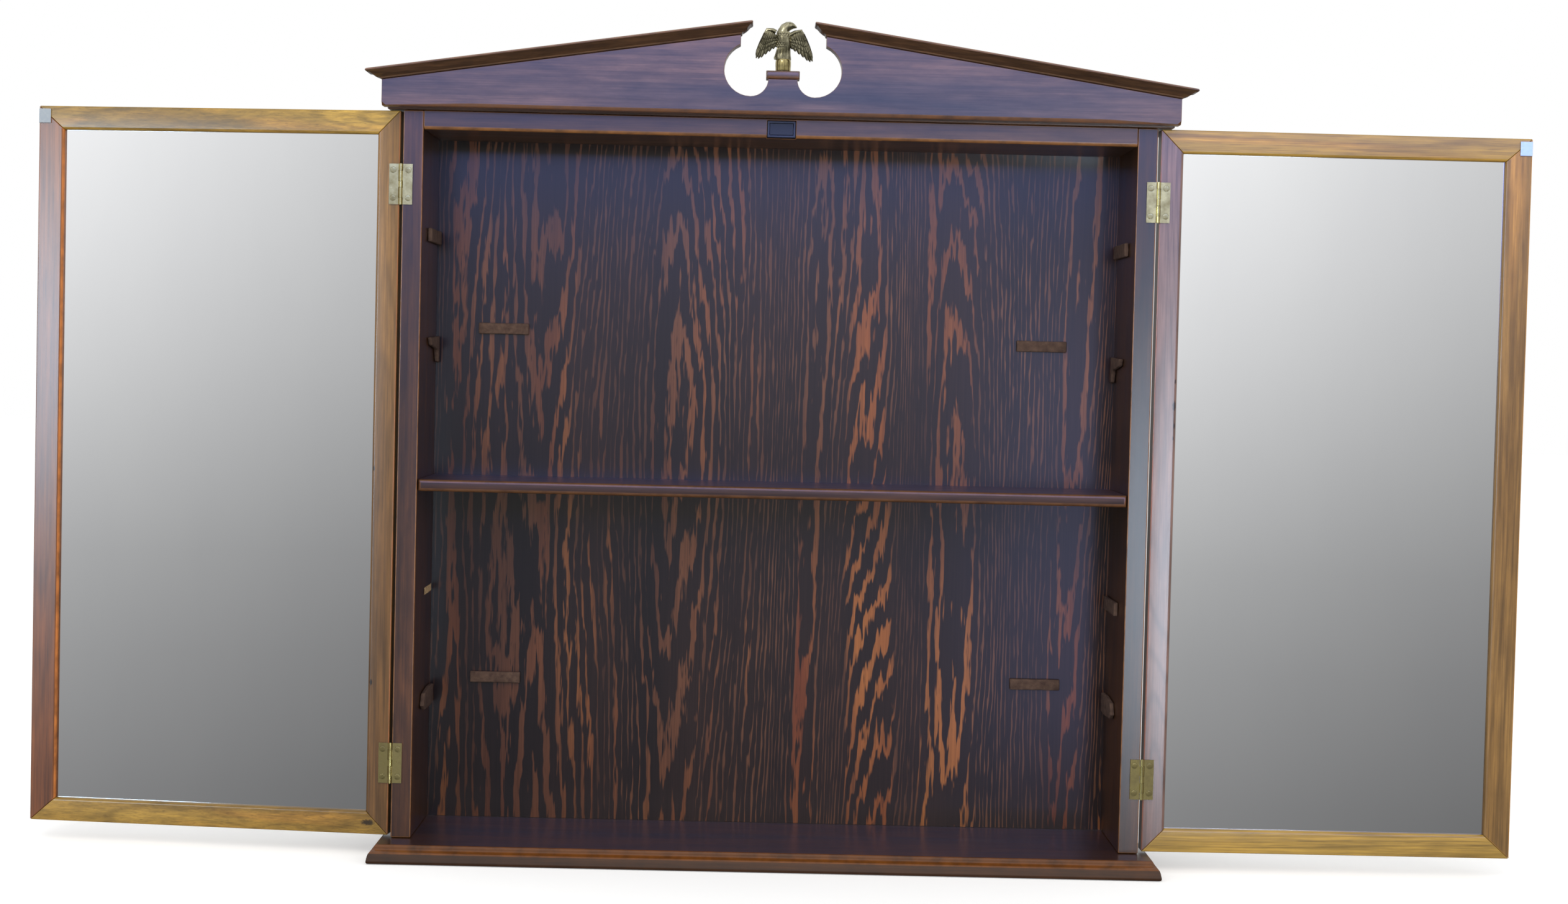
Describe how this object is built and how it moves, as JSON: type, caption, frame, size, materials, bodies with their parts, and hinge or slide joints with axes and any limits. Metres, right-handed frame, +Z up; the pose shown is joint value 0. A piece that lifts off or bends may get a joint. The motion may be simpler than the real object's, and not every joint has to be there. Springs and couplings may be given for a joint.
{
  "type": "medicine cabinet",
  "caption": "Wall-hung wooden medicine cabinet with mirrored doors on butt hinges, inner shelf, moulded sill, broken scroll pediment and a brass eagle finial.",
  "frame": {"origin": "on the wall plane, in the middle of the back panel's rear face", "axes": "+X to the right as seen from the room, +Y into the wall, so the doors face -Y, +Z up"},
  "size_m": [1.42, 0.1707, 0.7963],
  "materials": {
    "stained_wood": "satin varnish over dark brown stain, worn orange at the edges",
    "door_stile_wood": "satin varnish over reddish brown stain",
    "door_rail_wood": "satin varnish over golden brown stain",
    "back_panel_wood": "stained plywood with strong upright flame grain",
    "plain_wood": "raw",
    "mirror_glass": "silvered",
    "backing_board": "raw board",
    "brass": "aged, satin",
    "zinc_plate": "zinc plated",
    "catch_plastic": "satin",
    "magnet": "ground",
    "felt": "brushed felt"
  },
  "bodies": {
    "cabinet": {"back_panel": "back_panel_wood", "catch_case": "catch_plastic", "catch_magnet": "magnet", "crown_left": "stained_wood", "crown_right": "stained_wood", "eagle_finial": "brass", "finial_stem": "brass", "glue_block_left": "plain_wood", "glue_block_right": "plain_wood", "hinge_left_lower_box_leaf": "brass", "hinge_left_lower_pin": "brass", "hinge_left_upper_box_leaf": "brass", "hinge_left_upper_pin": "brass", "hinge_right_lower_box_leaf": "brass", "hinge_right_lower_pin": "brass", "hinge_right_upper_box_leaf": "brass", "hinge_right_upper_pin": "brass", "pad_back_lower_left": "felt", "pad_back_lower_right": "felt", "pad_back_upper_left": "felt", "pad_back_upper_right": "felt", "pad_side_lower_right": "felt", "pad_side_upper_left": "felt", "pad_side_upper_right": "felt", "pad_slumped_lower_left": "felt", "pad_slumped_lower_right": "felt", "pad_slumped_upper_left": "felt", "pad_slumped_upper_right": "felt", "pediment_board": "stained_wood", "plinth_cap": "stained_wood", "shelf": "stained_wood", "side_left": "stained_wood", "side_right": "stained_wood", "sill": "stained_wood", "top_board": "stained_wood", "top_plate": "stained_wood"},
    "door_left": {"door_left_backing": "backing_board", "door_left_mirror_inner": "mirror_glass", "door_left_mirror_outer": "mirror_glass", "door_left_rail_bottom": "door_rail_wood", "door_left_rail_top": "door_rail_wood", "door_left_stile_free": "door_stile_wood", "door_left_stile_hinge": "door_stile_wood", "door_left_strike": "zinc_plate", "hinge_left_lower_door_leaf": "brass", "hinge_left_upper_door_leaf": "brass"},
    "door_right": {"door_right_backing": "backing_board", "door_right_mirror_inner": "mirror_glass", "door_right_mirror_outer": "mirror_glass", "door_right_rail_bottom": "door_rail_wood", "door_right_rail_top": "door_rail_wood", "door_right_stile_free": "door_stile_wood", "door_right_stile_hinge": "door_stile_wood", "door_right_strike": "zinc_plate", "hinge_right_lower_door_leaf": "brass", "hinge_right_upper_door_leaf": "brass"}
  },
  "joints": [
    {"name": "door_left_swing", "type": "hinge", "parent": "cabinet", "child": "door_left", "pos_m": [-0.3572, -0.13025, 0], "axis": [0, 0, 1], "range_deg": [-1.4, 186.6]},
    {"name": "door_right_swing", "type": "hinge", "parent": "cabinet", "child": "door_right", "pos_m": [0.3572, -0.13025, 0], "axis": [0, 0, -1], "range_deg": [-7.4, 180.6]}
  ]
}
